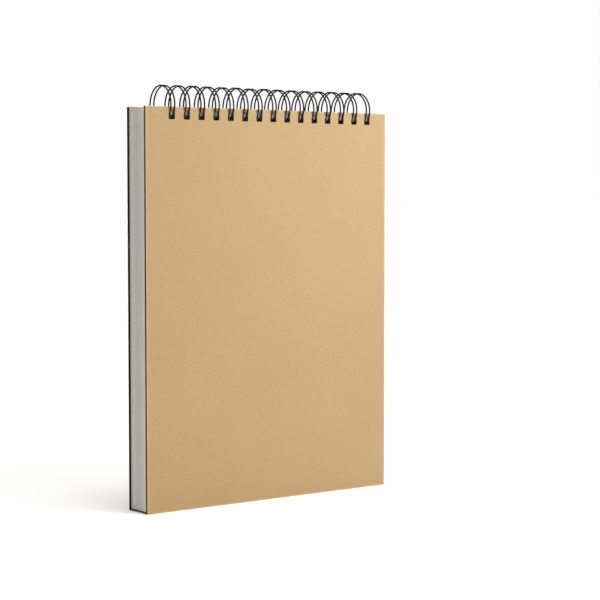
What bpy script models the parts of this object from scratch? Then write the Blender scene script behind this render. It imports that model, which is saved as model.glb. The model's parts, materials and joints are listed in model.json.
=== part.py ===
"""Top-bound sketchbook with a twin-loop wire binding.

The book stands upright on the bottom edges of its covers.
+X is to the right, +Y is to the back and +Z is up; the origin is the middle of the base.
The constants are in millimetres, and the model is in metres.
"""

import math

import bpy

MM = 0.001

# Overall size.
OVERALL_HEIGHT = 289.6
COVER_WIDTH = 207.0
BOOK_THICKNESS = 23.5

# Gap that two resting or glued faces keep.
GAP = 0.3

# Each cover is a core board between two facing papers. The back one is the stiffer board.
FRONT_COVER_THICKNESS = 2.2
BACK_COVER_THICKNESS = 3.0
FACING_THICKNESS = 0.2

# The sheets are a little shorter than the covers at both ends, and nearly flush at the sides.
SHEET_SIDE_INSET = 0.1
SHEET_END_INSET = 1.6
LEAF_COUNT = 16
LEAF_THICKNESS = 0.3

# Twin-loop wire.
LOOP_COUNT = 15
LOOP_PITCH = 12.07
LOOP_ROW_OFFSET = 1.8
LOOP_RADIUS = 13.1
WIRE_DIAMETER = 1.1
TWIN_SPACING = 3.0
LEG_SEGMENTS = 16
TIP_SEGMENTS = 4
CORNER_RADIUS = 0.9
TIP_GAP = 0.9
STUB_LENGTH = 1.6
SEAM_ANGLE = math.radians(-75)

# Punched holes. Those in the sheets are made taller at the top, which brings their top edges nearer
# to the top edges of the holes in the covers.
HOLE_WIDTH = 5.0
HOLE_CLEARANCE = 0.22
SHEET_HOLE_PLAY = 1.2
MARGIN_ABOVE_HOLE = 2.1

# Worked out from the sizes above.
WIRE_RADIUS = WIRE_DIAMETER / 2
HOLE_INNER_RADIUS = LOOP_RADIUS - WIRE_RADIUS - HOLE_CLEARANCE
HOLE_OUTER_RADIUS = LOOP_RADIUS + WIRE_RADIUS + HOLE_CLEARANCE
COVER_OUTER_Y = BOOK_THICKNESS / 2
PAD_FRONT_Y = -(COVER_OUTER_Y - FRONT_COVER_THICKNESS - GAP)
PAD_BACK_Y = COVER_OUTER_Y - BACK_COVER_THICKNESS - GAP
RING_HEIGHT = OVERALL_HEIGHT - LOOP_RADIUS - WIRE_RADIUS

# Colours.
KRAFT = (0.62, 0.42, 0.22, 1.0)
DARK_BOARD = (0.06, 0.035, 0.02, 1.0)
PAPER_WHITE = (0.85, 0.83, 0.80, 1.0)
BLACK_WIRE = (0.015, 0.015, 0.015, 1.0)


def clear_scene():
    for thing in list(bpy.data.objects):
        bpy.data.objects.remove(thing)


def new_collection(name):
    collection = bpy.data.collections.new(name)
    bpy.context.scene.collection.children.link(collection)
    return collection


def principled(name, colour, roughness, metallic=0.0):
    material = bpy.data.materials.new(name)
    material.use_nodes = True
    shader = material.node_tree.nodes["Principled BSDF"]
    shader.inputs["Base Color"].default_value = colour
    shader.inputs["Roughness"].default_value = roughness
    shader.inputs["Metallic"].default_value = metallic
    return material


def hinge_empty(name):
    """An empty on the line through the centres of the loops, which is every turning piece's axis."""
    empty = bpy.data.objects.new(name, None)
    empty.location = (0, 0, RING_HEIGHT * MM)
    empty.empty_display_size = COVER_WIDTH * MM / 2
    collection.objects.link(empty)
    return empty


def loop_centres():
    middle = (LOOP_COUNT - 1) / 2
    return [LOOP_ROW_OFFSET + (index - middle) * LOOP_PITCH for index in range(LOOP_COUNT)]


def hole_heights(near_y, far_y, play=0.0):
    """Bottom and top of a straight hole, through a plate that lies from near_y to far_y off the axis.

    The hole clears the round loop on both faces of the plate. play makes it taller at the top.
    """
    bottom = RING_HEIGHT - math.sqrt(HOLE_OUTER_RADIUS ** 2 - near_y ** 2)
    top = RING_HEIGHT - math.sqrt(HOLE_INNER_RADIUS ** 2 - far_y ** 2) + play
    return bottom, top


FRONT_COVER_HOLE = hole_heights(COVER_OUTER_Y - FRONT_COVER_THICKNESS, COVER_OUTER_Y)
BACK_COVER_HOLE = hole_heights(COVER_OUTER_Y - BACK_COVER_THICKNESS, COVER_OUTER_Y)
SHEET_HOLE = hole_heights(0, -PAD_FRONT_Y, SHEET_HOLE_PLAY)
COVER_TOP = FRONT_COVER_HOLE[1] + MARGIN_ABOVE_HOLE
SHEET_HEIGHTS = (SHEET_END_INSET, COVER_TOP - SHEET_END_INSET)
SHEET_WIDTH = COVER_WIDTH - 2 * SHEET_SIDE_INSET


def add_rectangle(curve, left, right, bottom, top):
    """A closed outline in the curve's plane, measured from the loops' axis."""
    spline = curve.splines.new("POLY")
    spline.points.add(3)
    corners = ((left, bottom), (right, bottom), (right, top), (left, top))
    for point, (x, z) in zip(spline.points, corners):
        point.co = (x * MM, (z - RING_HEIGHT) * MM, 0, 1)
    spline.use_cyclic_u = True


def punched_plate(name, material, width, heights, hole, faces, parent):
    """A flat sheet or board with the row of punched holes, between the two y values in faces."""
    curve = bpy.data.curves.new(name, "CURVE")
    curve.dimensions = "2D"
    curve.fill_mode = "BOTH"
    curve.extrude = (faces[1] - faces[0]) / 2 * MM
    add_rectangle(curve, -width / 2, width / 2, heights[0], heights[1])
    for centre in loop_centres():
        add_rectangle(curve, centre - HOLE_WIDTH / 2, centre + HOLE_WIDTH / 2, hole[0], hole[1])
    curve.materials.append(material)
    plate = bpy.data.objects.new(name, curve)
    collection.objects.link(plate)
    plate.parent = parent
    plate.location = (0, (faces[0] + faces[1]) / 2 * MM, 0)
    plate.rotation_euler = (math.pi / 2, 0, 0)


def cover(side, facing, cover_thickness, hole, parent):
    """Outer paper, core board and inner paper. facing is -1 for the front cover and 1 for the back."""
    layers = (
        ("outer_paper", FACING_THICKNESS, kraft_paper),
        ("board", cover_thickness - 2 * (FACING_THICKNESS + GAP), board),
        ("inner_paper", FACING_THICKNESS, kraft_paper),
    )
    outside = COVER_OUTER_Y
    for layer, thickness, material in layers:
        faces = sorted((facing * outside, facing * (outside - thickness)))
        name = f"{side}_cover_{layer}"
        punched_plate(name, material, COVER_WIDTH, (0, COVER_TOP), hole, faces, parent)
        outside -= thickness + GAP


def leaves():
    """Single sheets at the front of the pad, each with a hinge of its own. Returns the y behind them."""
    front = PAD_FRONT_Y
    for number in range(1, LEAF_COUNT + 1):
        hinge = hinge_empty(f"leaf_{number:02d}_hinge")
        faces = (front, front + LEAF_THICKNESS)
        name = f"leaf_{number:02d}"
        punched_plate(name, paper, SHEET_WIDTH, SHEET_HEIGHTS, SHEET_HOLE, faces, hinge)
        front += LEAF_THICKNESS + GAP
    return front


def loop_path(centre):
    """One twin loop on the unrolled cylinder, as (across, along) points from seam to tip and back."""
    half = TWIN_SPACING / 2
    leg_start = CORNER_RADIUS
    leg_end = 2 * math.pi * LOOP_RADIUS - TIP_GAP - half
    diagonal = CORNER_RADIUS * (1 - math.sqrt(0.5))
    up = [(half + CORNER_RADIUS, 0), (half + diagonal, diagonal)]
    step = (leg_end - leg_start) / LEG_SEGMENTS
    up += [(half, leg_start + step * index) for index in range(LEG_SEGMENTS + 1)]
    turn = math.pi / TIP_SEGMENTS
    angles = [turn * index for index in range(1, TIP_SEGMENTS)]
    tip = [(-half * math.cos(angle), leg_end + half * math.sin(angle)) for angle in angles]
    left = [(centre - across, along) for across, along in up]
    right = [(centre + across, along) for across, along in reversed(up)]
    return left + [(centre + across, along) for across, along in tip] + right


def wire_binding(material, parent):
    """One wire: hairpins rolled into rings, joined along the seam behind the back cover."""
    stub = TWIN_SPACING / 2 + CORNER_RADIUS + STUB_LENGTH
    centres = loop_centres()
    path = [(centres[0] - stub, 0)]
    for centre in centres:
        path += loop_path(centre)
    path.append((centres[-1] + stub, 0))
    # Chords cut inside a circle, so the corners stand half of that outside it.
    half_step = math.pi / LEG_SEGMENTS
    corner_radius = LOOP_RADIUS * (3 - math.cos(half_step)) / 2
    curve = bpy.data.curves.new("wire_binding", "CURVE")
    curve.dimensions = "3D"
    curve.bevel_depth = WIRE_RADIUS * MM
    curve.bevel_resolution = 2
    curve.use_fill_caps = True
    spline = curve.splines.new("POLY")
    spline.points.add(len(path) - 1)
    for point, (across, along) in zip(spline.points, path):
        angle = SEAM_ANGLE + along / LOOP_RADIUS
        y = -corner_radius * math.sin(angle)
        z = -corner_radius * math.cos(angle)
        point.co = (across * MM, y * MM, z * MM, 1)
    curve.materials.append(material)
    wire = bpy.data.objects.new("wire_binding", curve)
    collection.objects.link(wire)
    wire.parent = parent


clear_scene()
collection = new_collection("sketchbook")
kraft_paper = principled("kraft_paper", KRAFT, 0.85)
board = principled("dark_board", DARK_BOARD, 0.9)
paper = principled("sketch_paper", PAPER_WHITE, 0.9)
black_wire = principled("black_wire", BLACK_WIRE, 0.3)

axis = hinge_empty("loop_axis")
wire_binding(black_wire, axis)
cover("back", 1, BACK_COVER_THICKNESS, BACK_COVER_HOLE, axis)
block_faces = (leaves(), PAD_BACK_Y)
block_hinge = hinge_empty("page_block_hinge")
punched_plate("page_block", paper, SHEET_WIDTH, SHEET_HEIGHTS, SHEET_HOLE, block_faces, block_hinge)
cover("front", -1, FRONT_COVER_THICKNESS, FRONT_COVER_HOLE, hinge_empty("front_cover_hinge"))
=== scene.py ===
# %% [markdown]
# # A top-bound sketchbook with a twin-loop wire
# This notebook dresses a model of a sketchbook. The frame that is loaded first holds the plain solids and
# says which of them turn together. Every piece made here lies where its solid lies, and rides on the same
# body, so the book still opens when the joints move.

# %% Load the frame
import json
import math
import random

import bmesh
import bpy
from mathutils import Matrix, Vector


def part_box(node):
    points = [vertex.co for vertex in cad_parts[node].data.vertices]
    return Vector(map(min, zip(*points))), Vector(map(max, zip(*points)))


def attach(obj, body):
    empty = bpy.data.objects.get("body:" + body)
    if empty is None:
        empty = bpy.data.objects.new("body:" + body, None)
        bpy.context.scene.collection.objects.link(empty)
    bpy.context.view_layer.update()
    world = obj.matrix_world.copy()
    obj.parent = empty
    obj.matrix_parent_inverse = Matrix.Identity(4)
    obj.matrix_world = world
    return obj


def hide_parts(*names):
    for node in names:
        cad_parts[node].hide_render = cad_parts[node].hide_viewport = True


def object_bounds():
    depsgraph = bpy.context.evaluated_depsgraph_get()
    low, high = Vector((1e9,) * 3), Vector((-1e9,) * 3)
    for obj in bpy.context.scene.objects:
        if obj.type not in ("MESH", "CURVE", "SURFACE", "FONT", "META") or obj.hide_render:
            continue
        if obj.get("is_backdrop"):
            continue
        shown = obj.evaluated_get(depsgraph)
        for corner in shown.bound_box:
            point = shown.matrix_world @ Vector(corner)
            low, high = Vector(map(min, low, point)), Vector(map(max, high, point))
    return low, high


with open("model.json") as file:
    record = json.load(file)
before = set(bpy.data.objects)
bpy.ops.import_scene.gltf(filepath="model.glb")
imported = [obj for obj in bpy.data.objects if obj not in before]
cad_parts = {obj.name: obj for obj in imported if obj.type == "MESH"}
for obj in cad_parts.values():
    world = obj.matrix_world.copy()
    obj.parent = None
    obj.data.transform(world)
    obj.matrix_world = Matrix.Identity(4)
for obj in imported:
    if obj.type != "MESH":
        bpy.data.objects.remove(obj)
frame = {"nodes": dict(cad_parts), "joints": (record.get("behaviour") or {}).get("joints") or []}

CAD_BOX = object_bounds()
MM = 0.001
print("whole book, mm:", [round(side / MM, 1) for side in CAD_BOX[1] - CAD_BOX[0]])

# %% [markdown]
# ## The row of loops
# Everything in this book hangs on one line: the axis through the centres of the wire loops. The joint of
# the front cover gives its height. The row's middle is the middle of the wire's box, and the loops are
# spaced evenly either side of it, so one short list places every hole and every loop.

# %% The loops' axis and centres
AXIS = Vector(frame["joints"][0]["pos_m"])
LOOP_COUNT = 15
LOOP_PITCH = 12.07 * MM
LOOP_RADIUS = 13.1 * MM
WIRE_RADIUS = 0.55 * MM
wire_low, wire_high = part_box("wire_binding")
ROW_MIDDLE = (wire_low.x + wire_high.x) / 2
ROW_START = ROW_MIDDLE - (LOOP_COUNT - 1) / 2 * LOOP_PITCH
LOOP_CENTRES = [ROW_START + index * LOOP_PITCH for index in range(LOOP_COUNT)]
print("axis height, mm:", round(AXIS.z / MM, 2), "first loop at, mm:", round(LOOP_CENTRES[0] / MM, 2))

# %% [markdown]
# ## Small helpers for pieces
# A bmesh is Blender's editing mesh. Each piece is shaped in one and written to a mesh whose object stays
# at the origin. It is given its material and put on the body it rides on, and the solid it stands for is
# hidden. Edges that turn by less than a given angle are smoothed. On a flat plate that angle is small,
# because smoothing across a tiny bevel would bend the light over the whole of a long flat face.


# %% Finish a piece
def finish_piece(name, shape, material, body, stands_for, slot, smooth_below):
    """Turns a bmesh into an object of the book. Edges flatter than smooth_below degrees are smoothed."""
    mesh = bpy.data.meshes.new(name)
    shape.to_mesh(mesh)
    shape.free()
    mesh.materials.append(material)
    mesh.shade_smooth()
    mesh.set_sharp_from_angle(angle=math.radians(smooth_below))
    piece = bpy.data.objects.new(name, mesh)
    bpy.context.scene.collection.objects.link(piece)
    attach(piece, body)
    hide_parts(stands_for)
    return piece


def loose_or_open_edges(shape):
    """A closed shape has none: each of its edges joins exactly two faces."""
    return sum(1 for edge in shape.edges if not edge.is_manifold)


print("helpers ready")

# %% [markdown]
# ## Helpers for materials
# The finishes are built from nodes, so that they have grain at any distance. These few lines add a node,
# give it its settings and wire one socket to another, which keeps each recipe short.


# %% Node helpers
class Recipe:
    """One material, with short calls for the nodes that it is made of."""

    def __init__(self, name):
        self.material = bpy.data.materials.new(name)
        self.material.use_nodes = True
        self.tree = self.material.node_tree
        self.shader = self.tree.nodes["Principled BSDF"]

    def node(self, kind, **settings):
        made = self.tree.nodes.new(kind)
        for setting, value in settings.items():
            setattr(made, setting, value)
        return made

    def link(self, source, target):
        self.tree.links.new(source, target)

    def place(self):
        """Object coordinates: metres on the book, so a pattern has a real size."""
        return self.node("ShaderNodeTexCoord").outputs["Object"]

    def stretched(self, source, scale, turn=(0, 0, 0), shift=(0, 0, 0)):
        mapping = self.node("ShaderNodeMapping")
        mapping.inputs["Scale"].default_value = scale
        mapping.inputs["Rotation"].default_value = turn
        mapping.inputs["Location"].default_value = shift
        self.link(source, mapping.inputs["Vector"])
        return mapping.outputs["Vector"]

    def noise(self, source, scale, detail=3.0, roughness=0.5):
        texture = self.node("ShaderNodeTexNoise")
        texture.inputs["Scale"].default_value = scale
        texture.inputs["Detail"].default_value = detail
        texture.inputs["Roughness"].default_value = roughness
        self.link(source, texture.inputs["Vector"])
        return texture.outputs["Fac"]

    def between(self, value, low, high, to_low=0.0, to_high=1.0):
        """Spreads the stretch from low to high over to_low to to_high, and holds the ends."""
        ranged = self.node("ShaderNodeMapRange")
        sockets = ("From Min", "From Max", "To Min", "To Max")
        for socket, number in zip(sockets, (low, high, to_low, to_high)):
            ranged.inputs[socket].default_value = number
        self.link(value, ranged.inputs["Value"])
        return ranged.outputs["Result"]

    def math(self, operation, *values):
        """Each value is a number or a socket."""
        made = self.node("ShaderNodeMath", operation=operation)
        for socket, value in zip(made.inputs, values):
            if isinstance(value, (int, float)):
                socket.default_value = value
            else:
                self.link(value, socket)
        return made.outputs["Value"]

    def mixed(self, share, first, second):
        """Blends two colours. Each is a colour or a socket, and share is a socket."""
        mix = self.node("ShaderNodeMix", data_type="RGBA")
        self.link(share, mix.inputs["Factor"])
        for socket, value in ((mix.inputs[6], first), (mix.inputs[7], second)):
            if isinstance(value, tuple):
                socket.default_value = (*value, 1.0)
            else:
                self.link(value, socket)
        return mix.outputs[2]

    def bump(self, height, strength, distance):
        bump = self.node("ShaderNodeBump")
        bump.inputs["Strength"].default_value = strength
        bump.inputs["Distance"].default_value = distance
        self.link(height, bump.inputs["Height"])
        self.link(bump.outputs["Normal"], self.shader.inputs["Normal"])


print("node helpers ready")

# %% [markdown]
# ## Kraft paper
# The covers are faced with unbleached kraft paper. Close up it is a felt of short fibres, some paler and
# some darker than the rest, with a few bark-brown flecks; from a step back only soft clouds show. An
# image texture would repeat, so the fibres are drawn by stretched Voronoi cells: each long cell holds
# one fibre, a few cells are kept, and three directions laid over each other hide the pattern.


# %% Fibres from stretched cells
FIBRE_EDGE = 0.38
FIBRE_HEART = 0.16
KEPT_SOFTNESS = 0.02
WANDER_SCALE = 260


def fibre_mask(recipe, place, angle, length, width, share, seed):
    """1 on short fibres at one angle in the sheet's plane, and 0 between them."""
    turned = recipe.stretched(place, (1, 1, 1), turn=(0, angle, 0))
    cells = recipe.node("ShaderNodeTexVoronoi")
    cells.inputs["Scale"].default_value = 1.0
    stretch = recipe.stretched(turned, (1 / length, 0, 1 / width), shift=(seed, 0, seed / 2))
    recipe.link(stretch, cells.inputs["Vector"])
    fibre = recipe.between(cells.outputs["Distance"], FIBRE_EDGE, FIBRE_HEART)
    chosen = recipe.node("ShaderNodeSeparateColor")
    recipe.link(cells.outputs["Color"], chosen.inputs["Color"])
    kept = recipe.between(chosen.outputs["Red"], 1 - share, 1 - share + KEPT_SOFTNESS)
    return recipe.math("MULTIPLY", fibre, kept)


def curved(recipe, place, amount):
    """Bends the coordinates a little, so that fibres and flecks are not ruler straight."""
    wander = recipe.node("ShaderNodeTexNoise")
    wander.inputs["Scale"].default_value = WANDER_SCALE
    recipe.link(place, wander.inputs["Vector"])
    centred = recipe.node("ShaderNodeVectorMath", operation="SUBTRACT")
    recipe.link(wander.outputs["Color"], centred.inputs[0])
    centred.inputs[1].default_value = (0.5, 0.5, 0.5)
    scaled = recipe.node("ShaderNodeVectorMath", operation="SCALE")
    recipe.link(centred.outputs["Vector"], scaled.inputs[0])
    scaled.inputs["Scale"].default_value = amount
    moved = recipe.node("ShaderNodeVectorMath", operation="ADD")
    recipe.link(place, moved.inputs[0])
    recipe.link(scaled.outputs["Vector"], moved.inputs[1])
    return moved.outputs["Vector"]


print("fibre recipe ready")

# %% [markdown]
# Hands rub the edges of a cover first, and rubbed kraft is paler. The wear needs to know how far a point
# is from the cover's nearest edge. The covers stand square to the axes, so that is a few subtractions on
# the coordinates, and a coarse noise breaks the rubbed rim into patches.

# %% The rubbed rim
RUBBED_WIDTH = 1.5 * MM
PATCH_SCALE = 190
cover_low, cover_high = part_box("front_cover_outer_paper")


def rubbed_rim(recipe, place):
    """Up to 1 in patches at the very edge of a cover, and 0 from RUBBED_WIDTH inwards."""
    along = recipe.node("ShaderNodeSeparateXYZ")
    recipe.link(place, along.inputs["Vector"])
    middle = (cover_low.x + cover_high.x) / 2
    off_middle = recipe.math("ABSOLUTE", recipe.math("SUBTRACT", along.outputs["X"], middle))
    from_side = recipe.math("SUBTRACT", (cover_high.x - cover_low.x) / 2, off_middle)
    from_bottom = recipe.math("SUBTRACT", along.outputs["Z"], cover_low.z)
    from_top = recipe.math("SUBTRACT", cover_high.z, along.outputs["Z"])
    nearest = recipe.math("MINIMUM", recipe.math("MINIMUM", from_bottom, from_top), from_side)
    rim = recipe.between(nearest, 0.0, RUBBED_WIDTH, 1.0, 0.0)
    patches = recipe.between(recipe.noise(place, PATCH_SCALE, 3), 0.3, 0.6, 0.35, 1.0)
    return recipe.math("MULTIPLY", rim, patches)


print("cover, mm:", [round(side / MM, 1) for side in cover_high - cover_low])

# %% Kraft paper's colour and tooth
KRAFT_TAN = (0.446, 0.297, 0.147)
KRAFT_PALE = (0.488, 0.335, 0.174)
KRAFT_DEEP = (0.386, 0.247, 0.115)
KRAFT_RUBBED = (0.640, 0.475, 0.275)
FIBRE_DARK = (0.300, 0.178, 0.080)
FIBRE_LIGHT = (0.620, 0.465, 0.290)
FIBRE_ANGLES = (0.15, 1.2, 2.2)
DARK_FIBRE_TURN = 0.5
FIBRE_BEND = 1.6 * MM
FIBRE_STRENGTH = 0.34
LIGHT_FIBRES = {"length": 2.6 * MM, "width": 0.17 * MM, "share": 0.28}
DARK_FIBRES = {"length": 1.9 * MM, "width": 0.14 * MM, "share": 0.13}
BARK_FLECKS = {"length": 1.3 * MM, "width": 0.8 * MM, "share": 0.03}
FLECK_ANGLE = 0.8
FLECK_STRENGTH = 0.4
RUB_STRENGTH = 0.6
CLOUD_SCALE = 16
MOTTLE_SCALE = 420
KRAFT_TOOTH_SCALE = 3200


def kraft_paper():
    recipe = Recipe("kraft_paper_face")
    place = recipe.place()
    bent = curved(recipe, place, FIBRE_BEND)
    clouds = recipe.between(recipe.noise(place, CLOUD_SCALE, 3), 0.3, 0.7, 0.0, 0.45)
    mottle = recipe.between(recipe.noise(place, MOTTLE_SCALE, 4, 0.6), 0.3, 0.7, 0.0, 0.34)
    colour = recipe.mixed(clouds, KRAFT_TAN, KRAFT_PALE)
    colour = recipe.mixed(mottle, colour, KRAFT_DEEP)
    felt = None
    for index, angle in enumerate(FIBRE_ANGLES):
        light = fibre_mask(recipe, bent, angle, seed=11.3 + index, **LIGHT_FIBRES)
        turned = angle + DARK_FIBRE_TURN
        dark = fibre_mask(recipe, bent, turned, seed=47.9 + index, **DARK_FIBRES)
        colour = recipe.mixed(recipe.math("MULTIPLY", light, FIBRE_STRENGTH), colour, FIBRE_LIGHT)
        colour = recipe.mixed(recipe.math("MULTIPLY", dark, FIBRE_STRENGTH), colour, FIBRE_DARK)
        felt = light if felt is None else recipe.math("ADD", felt, light)
    flecks = fibre_mask(recipe, bent, FLECK_ANGLE, seed=83.1, **BARK_FLECKS)
    colour = recipe.mixed(recipe.math("MULTIPLY", flecks, FLECK_STRENGTH), colour, FIBRE_DARK)
    rubbed = recipe.math("MULTIPLY", rubbed_rim(recipe, place), RUB_STRENGTH)
    colour = recipe.mixed(rubbed, colour, KRAFT_RUBBED)
    recipe.link(colour, recipe.shader.inputs["Base Color"])
    grain = recipe.noise(place, KRAFT_TOOTH_SCALE, 4, 0.65)
    recipe.link(recipe.between(grain, 0.3, 0.7, 0.72, 0.9), recipe.shader.inputs["Roughness"])
    recipe.shader.inputs["Specular IOR Level"].default_value = 0.22
    height = recipe.math("ADD", grain, recipe.math("MULTIPLY", felt, 0.5))
    recipe.bump(height, 0.35, 0.05 * MM)
    return recipe.material


KRAFT = kraft_paper()
print("kraft paper:", len(KRAFT.node_tree.nodes), "nodes")

# %% [markdown]
# ## The boards' cut edges
# Only the cut edges of the core boards show. They are coloured dark and fibrous, in thin plies that run
# along the edge. Noise that is stretched along the cover and squeezed through its thickness gives those
# plies on all four edges at once, because each edge is a cut through the same layered block.
# The front board is a dark brown one. The heavier back board is the same board, but its edge is painted
# nearly black: painted shade.

# %% Dark boards
PLY_STRETCH = (260, 6500, 260)
FUZZ_SCALE = 2600


def dark_board(name, dark, brown):
    recipe = Recipe(name)
    place = recipe.place()
    plies = recipe.noise(recipe.stretched(place, PLY_STRETCH), 1.0, 3, 0.6)
    fuzz = recipe.noise(place, FUZZ_SCALE, 3, 0.7)
    height = recipe.math("ADD", plies, recipe.math("MULTIPLY", fuzz, 0.6))
    colour = recipe.mixed(recipe.between(height, 0.6, 1.05), dark, brown)
    recipe.link(colour, recipe.shader.inputs["Base Color"])
    recipe.shader.inputs["Roughness"].default_value = 0.92
    recipe.shader.inputs["Specular IOR Level"].default_value = 0.12
    recipe.bump(height, 0.6, 0.08 * MM)
    return recipe.material


BROWN_BOARD = dark_board("brown_board_edge", (0.046, 0.024, 0.010), (0.135, 0.072, 0.028))
# The back board's edge is the same board's colours painted much darker: painted shade.
SHADED_BACK_BOARD = dark_board("shaded_back_board_edge", (0.007, 0.004, 0.003), (0.026, 0.013, 0.008))
print("board:", len(BROWN_BOARD.node_tree.nodes), "nodes each")

# %% [markdown]
# ## Drawing paper
# The sheets are off-white cartridge paper with a fine tooth that catches pencil. Each sheet in a pad
# takes the light a little differently at its cut edge, so every sheet carries a tone of its own, kept
# in a mesh attribute that the material reads.

# %% Off-white drawing paper
SHEET_WHITE = (0.775, 0.763, 0.755)
SHEET_GREY = (0.588, 0.579, 0.573)
TONE_NAME = "sheet_tone"
FORMATION_SCALE = 300
PAPER_TOOTH_SCALE = 2100


def drawing_paper():
    recipe = Recipe("drawing_paper")
    place = recipe.place()
    tone = recipe.node("ShaderNodeAttribute", attribute_name=TONE_NAME).outputs["Fac"]
    colour = recipe.mixed(tone, SHEET_GREY, SHEET_WHITE)
    formation = recipe.between(recipe.noise(place, FORMATION_SCALE, 4, 0.6), 0.25, 0.75, 0.0, 0.12)
    colour = recipe.mixed(formation, colour, SHEET_GREY)
    recipe.link(colour, recipe.shader.inputs["Base Color"])
    tooth = recipe.noise(place, PAPER_TOOTH_SCALE, 4, 0.6)
    recipe.link(recipe.between(tooth, 0.3, 0.7, 0.8, 0.95), recipe.shader.inputs["Roughness"])
    recipe.shader.inputs["Specular IOR Level"].default_value = 0.2
    recipe.bump(tooth, 0.3, 0.04 * MM)
    return recipe.material


PAPER = drawing_paper()
print("drawing paper:", len(PAPER.node_tree.nodes), "nodes")

# %% [markdown]
# ## Black coated wire
# The steel wire has a thin nylon coat: deep black, with a soft gloss, and slightly uneven where it was
# dipped. A light coat layer over a dark base keeps the highlights narrow, and a very fine bump breaks
# them up.

# %% Coated wire
COATING_BLACK = (0.004, 0.004, 0.0045, 1.0)
DIP_SCALE = 900


def black_coating():
    recipe = Recipe("black_nylon_coat")
    recipe.shader.inputs["Base Color"].default_value = COATING_BLACK
    recipe.shader.inputs["Specular IOR Level"].default_value = 0.16
    recipe.shader.inputs["Coat Weight"].default_value = 0.08
    recipe.shader.inputs["Coat Roughness"].default_value = 0.15
    dip = recipe.noise(recipe.place(), DIP_SCALE, 3)
    recipe.link(recipe.between(dip, 0.3, 0.7, 0.3, 0.42), recipe.shader.inputs["Roughness"])
    recipe.bump(dip, 0.12, 0.05 * MM)
    return recipe.material


COATING = black_coating()
print("wire coat:", len(COATING.node_tree.nodes), "nodes")

# %% [markdown]
# ## A punched plate
# Covers and sheets are the same thing at different thicknesses: a flat rectangle with a row of punched
# holes. A Boolean cut would leave ragged triangles, so the rectangle is sliced along the edges of the
# holes, like a sheet scored with a knife, and the small faces inside the holes are thrown away. What is
# left is extruded to its thickness, and the corners of the holes are rounded like the punch's.

# %% Punch sizes
HOLE_WIDTH = 5.0 * MM
PUNCH_ROUNDING = 0.7 * MM
HOLE_CLEARANCE = 0.22 * MM
SHEET_HOLE_PLAY = 1.2 * MM


def hole_heights(near_y, far_y, play=0.0):
    """A straight hole through a plate from near_y to far_y off the axis, which clears the round loop.

    play makes it taller at the top, as the holes in the sheets are.
    """
    outer = LOOP_RADIUS + WIRE_RADIUS + HOLE_CLEARANCE
    inner = LOOP_RADIUS - WIRE_RADIUS - HOLE_CLEARANCE
    return AXIS.z - math.sqrt(outer**2 - near_y**2), AXIS.z - math.sqrt(inner**2 - far_y**2) + play


SHEET_HOLE = hole_heights(0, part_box("leaf_01")[0].y, SHEET_HOLE_PLAY)
print("sheet hole, mm:", [round(z / MM, 2) for z in SHEET_HOLE])


# %% Slice and punch
def slice_across(shape, point, normal):
    everything = shape.verts[:] + shape.edges[:] + shape.faces[:]
    bmesh.ops.bisect_plane(shape, geom=everything, plane_co=point, plane_no=normal)


def in_a_hole(point, hole):
    if not hole[0] < point.z < hole[1]:
        return False
    return any(abs(point.x - centre) < HOLE_WIDTH / 2 for centre in LOOP_CENTRES)


def punched_face(low, high, hole):
    """The flat front face of a plate, in its place, with its holes open."""
    shape = bmesh.new()
    bmesh.ops.create_grid(shape, x_segments=1, y_segments=1, size=1)
    size = Matrix.Diagonal(((high.x - low.x) / 2, (high.z - low.z) / 2, 1, 1))
    middle = Matrix.Translation(((low.x + high.x) / 2, low.y, (low.z + high.z) / 2))
    upright = middle @ Matrix.Rotation(math.pi / 2, 4, "X") @ size
    bmesh.ops.transform(shape, matrix=upright, verts=shape.verts)
    for height in hole:
        slice_across(shape, (0, 0, height), (0, 0, 1))
    for centre in LOOP_CENTRES:
        for side in (-1, 1):
            slice_across(shape, (centre + side * HOLE_WIDTH / 2, 0, 0), (1, 0, 0))
    waste = [face for face in shape.faces if in_a_hole(face.calc_center_median(), hole)]
    bmesh.ops.delete(shape, geom=waste, context="FACES")
    return shape


# %% Thicken and round
NEARLY_THROUGH = 0.9
SHARP_TURN = math.radians(60)


def round_over(shape, edges, offset, segments):
    bmesh.ops.bevel(
        shape, geom=edges, offset=offset, segments=segments, profile=0.5, affect="EDGES", material=-1
    )


def is_hole_corner(edge, low, high):
    """An edge that runs from face to face of the plate, away from the plate's own corners."""
    start, end = (vert.co for vert in edge.verts)
    through = abs(start.y - end.y) > NEARLY_THROUGH * (high.y - low.y)
    inside = low.x + MM < start.x < high.x - MM and low.z + MM < start.z < high.z - MM
    return through and inside


def punched_plate(low, high, hole, punch_segments, rim=0.0):
    """The plate between two corners. rim rounds every outer edge by that much."""
    shape = punched_face(low, high, hole)
    grown = bmesh.ops.extrude_face_region(shape, geom=shape.faces[:])["geom"]
    back = [item for item in grown if isinstance(item, bmesh.types.BMVert)]
    bmesh.ops.translate(shape, vec=(0, high.y - low.y, 0), verts=back)
    bmesh.ops.recalc_face_normals(shape, faces=shape.faces)
    corners = [edge for edge in shape.edges if is_hole_corner(edge, low, high)]
    round_over(shape, corners, PUNCH_ROUNDING, punch_segments)
    if rim:
        sharp = [edge for edge in shape.edges if edge.calc_face_angle(0) > SHARP_TURN]
        round_over(shape, sharp, rim, 2)
    return shape


trial = punched_plate(cover_low, cover_high, hole_heights(cover_high.y, cover_low.y), 5)
print("trial plate:", len(trial.faces), "faces,", loose_or_open_edges(trial), "open edges")
trial.free()

# %% [markdown]
# ## The covers
# Each cover is a sandwich: kraft paper, dark board, kraft paper, pressed flat. The solids keep a safety
# gap between the layers; here only a thin glue line parts the papers from the board, and each layer's
# edges are eased by a hair, so that the line between paper and board catches the light.

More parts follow.
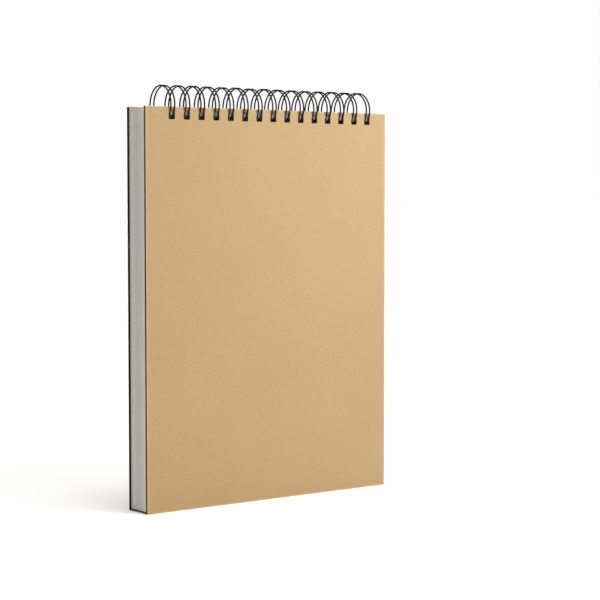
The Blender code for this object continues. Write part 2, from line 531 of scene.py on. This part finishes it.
# %% Layers of a cover
FACING = 0.18 * MM
GLUE_LINE = 0.015 * MM
PAPER_EASE = 0.05 * MM
BOARD_EASE = 0.09 * MM
PLATE_SMOOTHING = 20
COVER_PUNCH_SEGMENTS = 5


def cover_layers(side, body, inward, board_material):
    """inward is the step in y from the cover's outside to its inside, 1 for the front cover."""
    low, high = (corner.copy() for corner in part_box(f"{side}_cover_board"))
    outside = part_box(f"{side}_cover_outer_paper")[0 if inward > 0 else 1].y
    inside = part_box(f"{side}_cover_inner_paper")[1 if inward > 0 else 0].y
    hole = hole_heights(inside, outside)
    to_board = inward * (FACING + GLUE_LINE)
    outer_y = (outside, outside + inward * FACING)
    board_y = (outside + to_board, inside - to_board)
    inner_y = (inside, inside - inward * FACING)
    layers = (
        ("outer_kraft", outer_y, KRAFT, "outer_paper", "kraft_paper", PAPER_EASE),
        ("core_board", board_y, board_material, "board", "dark_board", BOARD_EASE),
        ("inner_kraft", inner_y, KRAFT, "inner_paper", "kraft_paper", PAPER_EASE),
    )
    for layer, faces_y, material, solid, slot, ease in layers:
        low.y, high.y = sorted(faces_y)
        shape = punched_plate(low, high, hole, COVER_PUNCH_SEGMENTS, rim=ease)
        opened = loose_or_open_edges(shape)
        name = f"{side}_{layer}"
        piece = finish_piece(name, shape, material, body, f"{side}_cover_{solid}", slot, PLATE_SMOOTHING)
        print(name, len(piece.data.polygons), "faces,", opened, "open edges")


cover_layers("front", "front_cover", 1, BROWN_BOARD)
cover_layers("back", "base", -1, SHADED_BACK_BOARD)

# %% [markdown]
# ## The sheets
# A pad is cut as one block, so its sheets nearly line up, but never quite: each is up to about a tenth of
# a millimetre out, and that is what draws the fine lines on the side of the pad. Every sheet is made by
# the same function and nudged by a seeded random amount, so that every run gives the same pad. Its tone
# drifts from the last sheet's, which gives the side of the pad soft bands and not hard stripes.

# %% A stack of sheets
SHEET_THICKNESS = 0.23 * MM
SHEET_PITCH = 0.30 * MM
NUDGE = 0.11 * MM
TONE_START = 0.8
TONE_DRIFT = 0.2
TONE_LOWEST = 0.35
SHEET_PUNCH_SEGMENTS = 2
shuffle = random.Random(20)


def drifting_tones():
    tone = TONE_START
    while True:
        tone = min(max(tone + shuffle.uniform(-TONE_DRIFT, TONE_DRIFT), TONE_LOWEST), 1.0)
        yield tone


def stack_of_sheets(low, high, count, tones):
    """count sheets from the front corner's y backwards, each nudged, with its own tone."""
    stack = bmesh.new()
    tone_layer = stack.faces.layers.float.new(TONE_NAME)
    for index in range(count):
        front = low.y + index * SHEET_PITCH
        near, far = Vector((low.x, front, low.z)), Vector((high.x, front + SHEET_THICKNESS, high.z))
        single = punched_plate(near, far, SHEET_HOLE, SHEET_PUNCH_SEGMENTS)
        nudge = (shuffle.uniform(-NUDGE, NUDGE), 0, shuffle.uniform(-NUDGE, NUDGE))
        bmesh.ops.translate(single, vec=nudge, verts=single.verts)
        carrier = bpy.data.meshes.new("single_sheet")
        single.to_mesh(carrier)
        single.free()
        before = len(stack.faces)
        stack.from_mesh(carrier)
        bpy.data.meshes.remove(carrier)
        stack.faces.ensure_lookup_table()
        tone = next(tones)
        for face in stack.faces[before:]:
            face[tone_layer] = tone
    return stack


SHEETS_PER_LEAF = 2
sheet_tones = drifting_tones()
leaf_names = sorted(name for name in frame["nodes"] if name.startswith("leaf_"))
for leaf in leaf_names:
    leaf_low, leaf_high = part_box(leaf)
    sheets = stack_of_sheets(leaf_low, leaf_high, SHEETS_PER_LEAF, sheet_tones)
    finish_piece(f"{leaf}_sheets", sheets, PAPER, leaf, leaf, "sketch_paper", PLATE_SMOOTHING)
print("turning leaves:", len(leaf_names))

# %% The sheets behind the turning leaves
block_low, block_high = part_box("page_block")
block_count = int((block_high.y - block_low.y + SHEET_PITCH - SHEET_THICKNESS) / SHEET_PITCH)
block = stack_of_sheets(block_low, block_high, block_count, sheet_tones)
block_piece = finish_piece(
    "page_block_sheets", block, PAPER, "page_block", "page_block", "sketch_paper", PLATE_SMOOTHING
)
print("sheets in the block:", block_count, "faces:", len(block_piece.data.polygons))

# %% [markdown]
# ## The twin-loop wire
# The real binding starts as a flat comb: one straight wire bent into long hairpins that stand side by
# side. A machine rolls the comb into a row of rings and closes it through the punched holes. The mesh is
# made in the same order. A small circle, the wire's section, is drawn along the flat comb by spins, both
# straight on and round the bends, and then the whole comb is rolled about the loops' axis. A curve with
# a bevel could follow the same path, but the rolled comb keeps its section true in every bend.

# %% The comb's sizes
TWIN_SPACING = 3.0 * MM
CORNER_RADIUS = 0.9 * MM
TIP_GAP = 0.9 * MM
STUB_LENGTH = 1.6 * MM
SECTION_SIDES = 14
LEG_STEPS = 56
TIP_STEPS = 10
CORNER_STEPS = 5
SEAM_ANGLE = math.radians(-75)
LEG_LENGTH = 2 * math.pi * LOOP_RADIUS - TIP_GAP - TWIN_SPACING / 2 - CORNER_RADIUS
print("leg length, mm:", round(LEG_LENGTH / MM, 2))


# %% Draw the flat comb
def draw_on(shape, end, step, steps):
    """Carries the wire's open end straight on, in equal steps."""
    drawn = bmesh.ops.spin(
        shape, geom=end, cent=(0, 0, 0), axis=(0, 0, 1), dvec=step, angle=0, steps=steps
    )
    return drawn["geom_last"]


def bend(shape, end, centre, angle, steps):
    """Carries the wire's open end round a bend in the flat plane."""
    drawn = bmesh.ops.spin(shape, geom=end, cent=centre, axis=(0, 0, 1), angle=angle, steps=steps)
    return drawn["geom_last"]


def flat_comb():
    """X is along the row and Y is along the hairpins. The comb lies on its seam line, y = 0."""
    half = TWIN_SPACING / 2
    shape = bmesh.new()
    start_x = LOOP_CENTRES[0] - half - CORNER_RADIUS - STUB_LENGTH
    facing_x = Matrix.Translation((start_x, 0, 0)) @ Matrix.Rotation(math.pi / 2, 4, "Y")
    bmesh.ops.create_circle(shape, segments=SECTION_SIDES, radius=WIRE_RADIUS, matrix=facing_x)
    end = draw_on(shape, shape.verts[:] + shape.edges[:], (STUB_LENGTH, 0, 0), 1)
    to_next = LOOP_PITCH - TWIN_SPACING - 2 * CORNER_RADIUS
    up = (0, LEG_LENGTH / LEG_STEPS, 0)
    down = (0, -LEG_LENGTH / LEG_STEPS, 0)
    for centre in LOOP_CENTRES:
        left = (centre - half - CORNER_RADIUS, CORNER_RADIUS, 0)
        right = (centre + half + CORNER_RADIUS, CORNER_RADIUS, 0)
        end = bend(shape, end, left, math.pi / 2, CORNER_STEPS)
        end = draw_on(shape, end, up, LEG_STEPS)
        end = bend(shape, end, (centre, CORNER_RADIUS + LEG_LENGTH, 0), -math.pi, TIP_STEPS)
        end = draw_on(shape, end, down, LEG_STEPS)
        end = bend(shape, end, right, math.pi / 2, CORNER_STEPS)
        onward = STUB_LENGTH if centre == LOOP_CENTRES[-1] else to_next
        end = draw_on(shape, end, (onward, 0, 0), 1)
    return shape


comb = flat_comb()
print("comb:", len(comb.verts), "vertices")

# %% [markdown]
# A rolled comb is never perfect: each hairpin leans a little to one side at the top of its loop, and
# some stand a little taller. Both are smooth swells along the leg, which die out where the wire goes
# through the holes, so the punched holes still fit.

# %% Lean the hairpins and roll the comb
LEAN = 0.3 * MM
RISE = 0.14 * MM
settle = random.Random(7)
leans = [settle.uniform(-LEAN, LEAN) for _ in LOOP_CENTRES]
rises = [settle.uniform(-RISE, RISE) for _ in LOOP_CENTRES]
SWELL_START = LOOP_RADIUS * math.radians(150)
SWELL_END = LOOP_RADIUS * math.radians(335)
CUT_ROUNDING = 0.12 * MM
WIRE_SMOOTHING = 50


def roll(shape):
    """Bends the flat comb into rings about the loops' axis, with its leans and rises."""
    for vert in shape.verts:
        nearest = min(range(LOOP_COUNT), key=lambda index: abs(vert.co.x - LOOP_CENTRES[index]))
        along = (vert.co.y - SWELL_START) / (SWELL_END - SWELL_START)
        swell = math.sin(math.pi * min(max(along, 0), 1)) ** 2
        angle = SEAM_ANGLE + vert.co.y / LOOP_RADIUS
        radius = LOOP_RADIUS + vert.co.z + rises[nearest] * swell
        across = vert.co.x + leans[nearest] * swell
        vert.co = (across, AXIS.y - radius * math.sin(angle), AXIS.z - radius * math.cos(angle))


roll(comb)
open_ends = [edge for edge in comb.edges if edge.is_boundary]
bmesh.ops.holes_fill(comb, edges=open_ends, sides=SECTION_SIDES)
bmesh.ops.recalc_face_normals(comb, faces=comb.faces)
end_faces = [face for face in comb.faces if len(face.verts) == SECTION_SIDES]
cut_rims = list({edge for face in end_faces for edge in face.edges})
round_over(comb, sorted(cut_rims, key=lambda edge: edge.index), CUT_ROUNDING, 2)
print("cut ends:", len(end_faces), "open edges in the wire:", loose_or_open_edges(comb))
wire = finish_piece(
    "twin_loop_wire", comb, COATING, "base", "wire_binding", "black_wire", WIRE_SMOOTHING
)
print("wire:", len(wire.data.polygons), "faces")

# %% [markdown]
# ## Floor, light and camera
# The book stands on a pale floor that runs off to the horizon. Most of the light comes straight down, as
# under a large ceiling panel, and the white floor throws it back up on to the covers and the side of the
# pad. A weaker key light from the front right and a soft panel close to the top right corner give the
# front cover its slow fall from bright to dim. The ceiling and the key are slightly warm and the panel
# is cool, so the cover also warms towards its foot. The sky is white to the eye but gives little light.

# %% The floor
FLOOR_REACH = 30.0
FLOOR_PALE = (0.9, 0.9, 0.9)
FLOOR_PALER = (0.92, 0.92, 0.92)


def pale_floor():
    recipe = Recipe("pale_floor")
    grain = recipe.between(recipe.noise(recipe.place(), 3, 2), 0.3, 0.7)
    colour = recipe.mixed(grain, FLOOR_PALE, FLOOR_PALER)
    recipe.link(colour, recipe.shader.inputs["Base Color"])
    recipe.shader.inputs["Roughness"].default_value = 0.9
    recipe.shader.inputs["Specular IOR Level"].default_value = 0.1
    shape = bmesh.new()
    bmesh.ops.create_grid(shape, x_segments=1, y_segments=1, size=FLOOR_REACH)
    mesh = bpy.data.meshes.new("floor")
    shape.to_mesh(mesh)
    shape.free()
    mesh.materials.append(recipe.material)
    floor = bpy.data.objects.new("floor", mesh)
    floor.location.z = CAD_BOX[0].z
    bpy.context.scene.collection.objects.link(floor)
    floor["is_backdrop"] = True


pale_floor()
print("floor made")

# %% The sky and the lights
SKY_TO_EYE = 1.0
SKY_LIGHT = 0.1
CEILING_STRENGTH = 3.15
CEILING_WARM = (1.0, 0.972, 0.93)
CEILING_SPREAD = math.radians(40)
KEY_STRENGTH = 0.8
KEY_WARM = (1.0, 0.94, 0.82)
KEY_SPREAD = math.radians(45)
PANEL_POWER = 1.4
PANEL_COOL = (0.86, 0.94, 1.0)
PANEL_WIDTH = 0.22
PANEL_PLACE = Vector((0.18, -0.37, 0.38))
PANEL_TARGET = Vector((0.07, 0, 0.2))


def white_sky():
    world = bpy.data.worlds.new("studio")
    bpy.context.scene.world = world
    world.use_nodes = True
    tree = world.node_tree
    background = tree.nodes["Background"]
    background.inputs["Color"].default_value = (1, 1, 1, 1)
    rays = tree.nodes.new("ShaderNodeLightPath")
    strength = tree.nodes.new("ShaderNodeMapRange")
    strength.inputs["To Min"].default_value = SKY_LIGHT
    strength.inputs["To Max"].default_value = SKY_TO_EYE
    tree.links.new(rays.outputs["Is Camera Ray"], strength.inputs["Value"])
    tree.links.new(strength.outputs["Result"], background.inputs["Strength"])


def direction(bearing, rise):
    """A unit vector from the book, with bearing from straight in front to the right, in degrees."""
    turned, raised = math.radians(bearing), math.radians(rise)
    level = math.cos(raised)
    return Vector((math.sin(turned) * level, -math.cos(turned) * level, math.sin(raised)))


def add_light(name, kind, energy, colour, place, towards_light):
    """A lamp at a place, shining back along towards_light."""
    light = bpy.data.lights.new(name, kind)
    light.energy = energy
    light.color = colour
    lamp = bpy.data.objects.new(name, light)
    lamp.location = place
    lamp.rotation_euler = (-towards_light).to_track_quat("-Z", "Y").to_euler()
    bpy.context.scene.collection.objects.link(lamp)
    return light


white_sky()
BOOK_MIDDLE = (CAD_BOX[0] + CAD_BOX[1]) / 2
overhead = direction(0, 87)
ceiling_place = BOOK_MIDDLE + overhead
ceiling = add_light("ceiling", "SUN", CEILING_STRENGTH, CEILING_WARM, ceiling_place, overhead)
ceiling.angle = CEILING_SPREAD
front_right = direction(25, 40)
key_place = BOOK_MIDDLE + front_right
key = add_light("key", "SUN", KEY_STRENGTH, KEY_WARM, key_place, front_right)
key.angle = KEY_SPREAD
towards_panel = (PANEL_PLACE - PANEL_TARGET).normalized()
panel = add_light("panel", "AREA", PANEL_POWER, PANEL_COOL, PANEL_PLACE, towards_panel)
panel.shape = "DISK"
panel.size = PANEL_WIDTH
print("lights made")

# %% [markdown]
# The camera stands to the left of the book, a little above its middle, far enough back for a long lens,
# so the left side of the pad shows and the upright edges stay nearly parallel.

# %% The camera
AIM = Vector((25.2 * MM, cover_low.y, 140.3 * MM))
CAMERA_BEARING = -37.09
CAMERA_RISE = 3.46
CAMERA_DISTANCE = 1.2575
LENS = 105.9
SENSOR_WIDTH = 36
camera_data = bpy.data.cameras.new("camera")
camera_data.lens = LENS
camera_data.sensor_width = SENSOR_WIDTH
camera = bpy.data.objects.new("camera", camera_data)
towards_camera = direction(CAMERA_BEARING, CAMERA_RISE)
camera.location = AIM + towards_camera * CAMERA_DISTANCE
camera.rotation_euler = (-towards_camera).to_track_quat("-Z", "Y").to_euler()
bpy.context.scene.collection.objects.link(camera)
bpy.context.scene.camera = camera
bpy.context.scene.view_settings.view_transform = "Standard"
print("camera at, m:", [round(value, 3) for value in camera.location])

# %% [markdown]
# ## The sizes of both books
# The dressed book has to be as big as the plain one. Both boxes are gathered, and the dressed book's size
# is printed.

# %% Gather both boxes and print the size
boxes = {"cad": CAD_BOX, "visual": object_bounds()}
plain = {name: [list(corner) for corner in box] for name, box in boxes.items()}
print("visual book, mm:", [round(side / MM, 1) for side in boxes["visual"][1] - boxes["visual"][0]])
